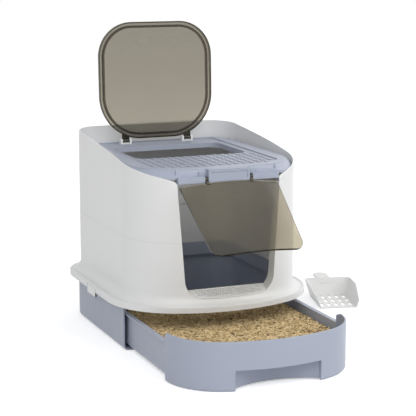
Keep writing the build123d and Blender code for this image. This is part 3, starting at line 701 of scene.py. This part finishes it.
class LITTERBOX_OT_stage(bpy.types.Operator):
    """Floor, sky, lamps and camera"""
    bl_idname = "litterbox.stage"
    bl_label = "Studio"

    def execute(self, context):
        studio = context.scene.litter_box_studio
        self.floor()
        self.sky(studio)
        self.lamp("main_lamp", studio.key)
        self.lamp("fill_lamp", studio.fill)
        self.lamp("rear_lamp", studio.rear)
        self.camera(studio)
        context.scene.view_settings.view_transform = "Standard"
        return {"FINISHED"}

    def floor(self):
        """Pale floor that keeps its shadows and grows white away from the object."""
        mesh = bpy.data.meshes.new("floor")
        work = bmesh.new()
        bmesh.ops.create_grid(work, x_segments=1, y_segments=1, size=FLOOR_HALF)
        work.to_mesh(mesh)
        work.free()
        floor = add_piece("floor", mesh)
        material, tree, shader, where = new_material("Floor")
        paper = put(tree, "ShaderNodeTexNoise",
                    {"Vector": where.outputs["Object"], "Scale": 3.0, "Detail": 2.0})
        tone = put(tree, "ShaderNodeMapRange",
                   {"Value": paper.outputs["Fac"], "To Min": 0.90, "To Max": 0.93})
        tree.links.new(tone.outputs[0], shader.inputs["Base Color"])
        shader.inputs["Roughness"].default_value = 0.9
        shader.inputs["Specular IOR Level"].default_value = 0.1
        reach = put(tree, "ShaderNodeVectorMath",
                    {0: where.outputs["Object"]}, operation="LENGTH").outputs["Value"]
        whiten = put(tree, "ShaderNodeMapRange",
                     {"Value": reach, "From Min": NEAR_GLOW[0], "From Max": FAR_GLOW[0],
                      "To Min": NEAR_GLOW[1], "To Max": FAR_GLOW[1]}).outputs[0]
        glow = maths(tree, "MULTIPLY", seen_directly(tree), whiten)
        tree.links.new(glow, shader.inputs["Emission Color"])
        shader.inputs["Emission Strength"].default_value = 1.0
        mesh.materials.append(material)

    def sky(self, studio):
        """White where it is seen, and an even soft light otherwise."""
        world = bpy.data.worlds.new("Studio")
        world.use_nodes = True
        tree = world.node_tree
        tree.nodes.clear()
        level = put(tree, "ShaderNodeMapRange",
                    {"Value": seen_directly(tree), "To Min": studio.sky, "To Max": 1.0})
        back = put(tree, "ShaderNodeBackground",
                   {"Color": (1, 1, 1, 1), "Strength": level.outputs[0]})
        out = tree.nodes.new("ShaderNodeOutputWorld")
        tree.links.new(back.outputs[0], out.inputs["Surface"])
        bpy.context.scene.world = world

    def lamp(self, name, power):
        """Large round lamp, turned to the object."""
        data = bpy.data.lights.new(name, "AREA")
        data.shape = "DISK"
        data.size = LAMP_SIZE
        data.energy = power
        lamp = bpy.data.objects.new(name, data)
        bpy.context.scene.collection.objects.link(lamp)
        lamp.location = LAMP_PLACES[name]
        direction = Vector(LAMP_AIM) - Vector(LAMP_PLACES[name])
        lamp.rotation_euler = direction.to_track_quat("-Z", "Y").to_euler()

    def camera(self, studio):
        """Camera at the photograph's viewing angle."""
        data = bpy.data.cameras.new("camera")
        data.sensor_width = 36
        data.lens = studio.focal_length
        data.clip_end = 60
        camera = bpy.data.objects.new("camera", data)
        bpy.context.scene.collection.objects.link(camera)
        camera.location = CAMERA_PLACE
        camera.rotation_euler = (radians(90 - CAMERA_DOWN), 0, radians(-CAMERA_RIGHT))
        bpy.context.scene.camera = camera


OPERATORS = (
    LITTERBOX_OT_base,
    LITTERBOX_OT_hood,
    LITTERBOX_OT_deck,
    LITTERBOX_OT_lid,
    LITTERBOX_OT_flap,
    LITTERBOX_OT_hardware,
    LITTERBOX_OT_litter,
    LITTERBOX_OT_scoop,
    LITTERBOX_OT_stage,
)


class LITTERBOX_PT_panel(bpy.types.Panel):
    """Settings and steps of the litter box"""
    bl_idname = "LITTERBOX_PT_panel"
    bl_label = "Litter box"
    bl_space_type = "VIEW_3D"
    bl_region_type = "UI"
    bl_category = "Litter box"

    def draw(self, context):
        scene = context.scene
        for group in (scene.litter_box_finish, scene.litter_box_fill, scene.litter_box_studio):
            box = self.layout.box()
            for name in group.__annotations__:
                box.prop(group, name)
        for operator in OPERATORS:
            self.layout.operator(operator.bl_idname)


CLASSES = (LitterBoxFinish, LitterBoxFill, LitterBoxStudio, *OPERATORS, LITTERBOX_PT_panel)


def register():
    for kind in CLASSES:
        bpy.utils.register_class(kind)
    bpy.types.Scene.litter_box_finish = bpy.props.PointerProperty(type=LitterBoxFinish)
    bpy.types.Scene.litter_box_fill = bpy.props.PointerProperty(type=LitterBoxFill)
    bpy.types.Scene.litter_box_studio = bpy.props.PointerProperty(type=LitterBoxStudio)
    moulded_group()
    edge_group()
    inset_group()


def unregister():
    for name in ("Moulded surface", "Panel edges", "Distance from the rim"):
        bpy.data.node_groups.remove(bpy.data.node_groups[name])
    del bpy.types.Scene.litter_box_studio
    del bpy.types.Scene.litter_box_fill
    del bpy.types.Scene.litter_box_finish
    for kind in reversed(CLASSES):
        bpy.utils.unregister_class(kind)


def main():
    register()
    bpy.ops.litterbox.base()
    bpy.ops.litterbox.hood()
    bpy.ops.litterbox.deck()
    bpy.ops.litterbox.lid()
    bpy.ops.litterbox.flap()
    bpy.ops.litterbox.hardware()
    bpy.ops.litterbox.litter()
    bpy.ops.litterbox.scoop()
    bpy.ops.litterbox.stage()


if __name__ == "__main__":
    main()
